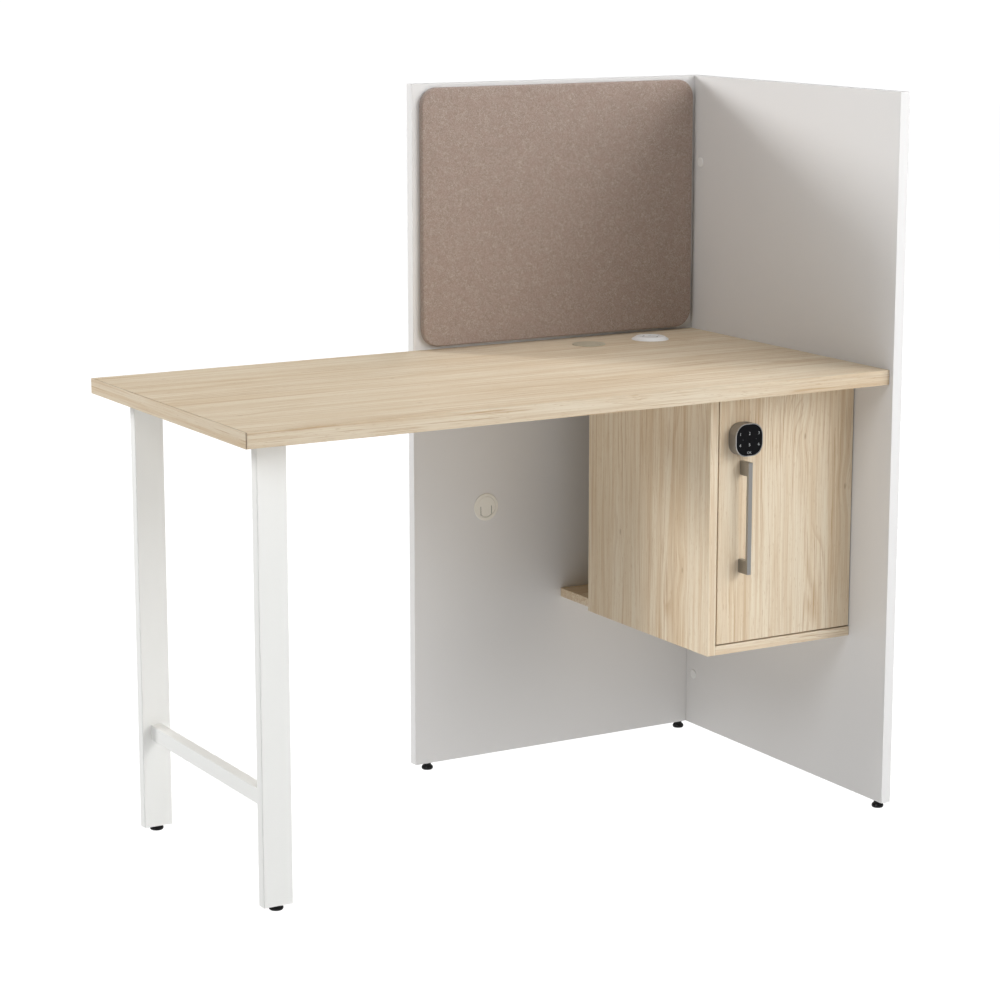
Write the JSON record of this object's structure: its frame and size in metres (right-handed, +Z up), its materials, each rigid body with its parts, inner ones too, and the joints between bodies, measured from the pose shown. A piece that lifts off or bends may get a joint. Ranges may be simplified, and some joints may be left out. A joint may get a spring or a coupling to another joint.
{
  "type": "study carrel",
  "caption": "Library study carrel: a worksurface between a welded leg frame and an L of white screen panels, with a felt tackboard and a hung locker whose hinged door has a keypad lock.",
  "frame": {"origin": "on the floor, under the middle of the whole object's bounding box", "axes": "+X along the worksurface from the leg frame to the side panel, +Y from the user's seat to the back panel, +Z up"},
  "size_m": [1.22, 0.6296, 1.2416],
  "materials": {
    "white_laminate": "satin white laminate on particle board",
    "wood_laminate": "satin blonde wood-grain laminate on particle board",
    "frame_paint": "off-white powder coat",
    "black_plastic": "satin black",
    "felt": "heathered taupe felt",
    "fibreboard": "raw fibreboard",
    "zinc_steel": "zinc plated",
    "nickel": "brushed nickel",
    "keypad_black": "gloss black with pale printed digits",
    "cream_plastic": "satin cream",
    "white_plastic": "satin white"
  },
  "bodies": {
    "carrel": {"back_panel": "white_laminate", "side_panel": "white_laminate", "desktop": "wood_laminate", "desktop_left_band": "wood_laminate", "desktop_front_band": "wood_laminate", "desktop_rear_band": "wood_laminate", "locker_side": "wood_laminate", "locker_bottom": "wood_laminate", "locker_back": "wood_laminate", "front_leg_tube": "frame_paint", "rear_leg_tube": "frame_paint", "front_leg_plate": "frame_paint", "rear_leg_plate": "frame_paint", "leg_stretcher": "frame_paint", "front_leg_plug": "black_plastic", "rear_leg_plug": "black_plastic", "tackboard_strip_left": "black_plastic", "tackboard_strip_right": "black_plastic", "door_stop": "black_plastic", "tackboard_cover": "felt", "tackboard_core": "fibreboard", "cam_upper": "zinc_steel", "cam_lower": "zinc_steel", "cam_bolt_upper": "zinc_steel", "cam_bolt_lower": "zinc_steel", "panel_bush_left": "zinc_steel", "panel_bush_corner": "zinc_steel", "panel_bush_front": "zinc_steel", "desk_bracket_left": "zinc_steel", "desk_bracket_right": "zinc_steel", "strike_plate": "zinc_steel", "hinge_plate_upper": "zinc_steel", "hinge_plate_lower": "zinc_steel", "hinge_arm_upper": "zinc_steel", "hinge_arm_lower": "zinc_steel", "desk_port_liner": "cream_plastic", "panel_port_liner": "cream_plastic", "cam_cap_upper": "white_plastic", "cam_cap_lower": "white_plastic", "power_bezel": "white_plastic", "power_body": "white_plastic", "power_socket": "white_plastic"},
    "door": {"locker_door": "wood_laminate", "hinge_cup_upper": "zinc_steel", "hinge_cup_lower": "zinc_steel", "door_pull": "nickel", "pull_screw_upper": "zinc_steel", "pull_screw_lower": "zinc_steel", "lock_case": "nickel", "lock_keypad": "keypad_black", "lock_works_case": "black_plastic", "lock_battery_cover": "black_plastic"},
    "lock_bolt": {"lock_bolt": "zinc_steel"},
    "front_leg_glide": {"front_leg_glide": "black_plastic"},
    "rear_leg_glide": {"rear_leg_glide": "black_plastic"},
    "panel_glide_left": {"panel_glide_left": "black_plastic"},
    "panel_glide_corner": {"panel_glide_corner": "black_plastic"},
    "panel_glide_front": {"panel_glide_front": "black_plastic"},
    "desk_port_cap": {"desk_port_cap": "cream_plastic"},
    "panel_port_cap": {"panel_port_cap": "cream_plastic"}
  },
  "joints": [
    {"name": "door_hinge", "type": "hinge", "parent": "carrel", "child": "door", "pos_m": [0.5882, -0.2102, 0.53], "axis": [0, 0, 1], "range_deg": [0, 90]},
    {"name": "lock_bolt_throw", "type": "slide", "parent": "door", "child": "lock_bolt", "axis": [-1, 0, 0], "range_m": [0, 0.015]},
    {"name": "front_leg_levelling", "type": "slide", "parent": "carrel", "child": "front_leg_glide", "axis": [0, 0, -1], "range_m": [0, 0.012]},
    {"name": "rear_leg_levelling", "type": "slide", "parent": "carrel", "child": "rear_leg_glide", "axis": [0, 0, -1], "range_m": [0, 0.012]},
    {"name": "panel_left_levelling", "type": "slide", "parent": "carrel", "child": "panel_glide_left", "axis": [0, 0, -1], "range_m": [0, 0.01]},
    {"name": "panel_corner_levelling", "type": "slide", "parent": "carrel", "child": "panel_glide_corner", "axis": [0, 0, -1], "range_m": [0, 0.01]},
    {"name": "panel_front_levelling", "type": "slide", "parent": "carrel", "child": "panel_glide_front", "axis": [0, 0, -1], "range_m": [0, 0.01]},
    {"name": "desk_port_cap_lift", "type": "slide", "parent": "carrel", "child": "desk_port_cap", "axis": [0, 0, 1], "range_m": [0, 0.02]},
    {"name": "panel_port_cap_pull", "type": "slide", "parent": "carrel", "child": "panel_port_cap", "axis": [0, -1, 0], "range_m": [0, 0.02]}
  ]
}
